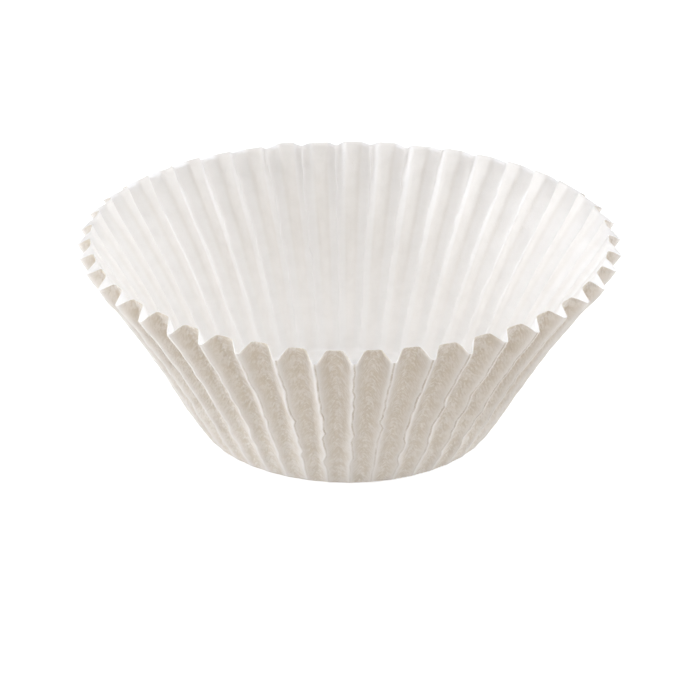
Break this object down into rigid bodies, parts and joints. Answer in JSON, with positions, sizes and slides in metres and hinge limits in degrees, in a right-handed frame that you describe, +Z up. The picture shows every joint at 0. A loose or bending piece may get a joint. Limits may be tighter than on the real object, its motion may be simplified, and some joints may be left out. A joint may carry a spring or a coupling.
{
  "type": "paper candy cup",
  "caption": "Small fluted paper cup for one sweet: flat round floor and an outward-leaning wall pressed into even flutes with a scalloped rim.",
  "frame": {"origin": "centre of the floor's underside, on the surface that the cup stands on", "axes": "+Z up out of the cup's mouth; the flutes repeat about it"},
  "size_m": [0.0454, 0.0454, 0.0174],
  "materials": {
    "paper": "matte off-white greaseproof paper"
  },
  "bodies": {
    "root": {"fluted_paper_cup": "paper"}
  },
  "joints": []
}
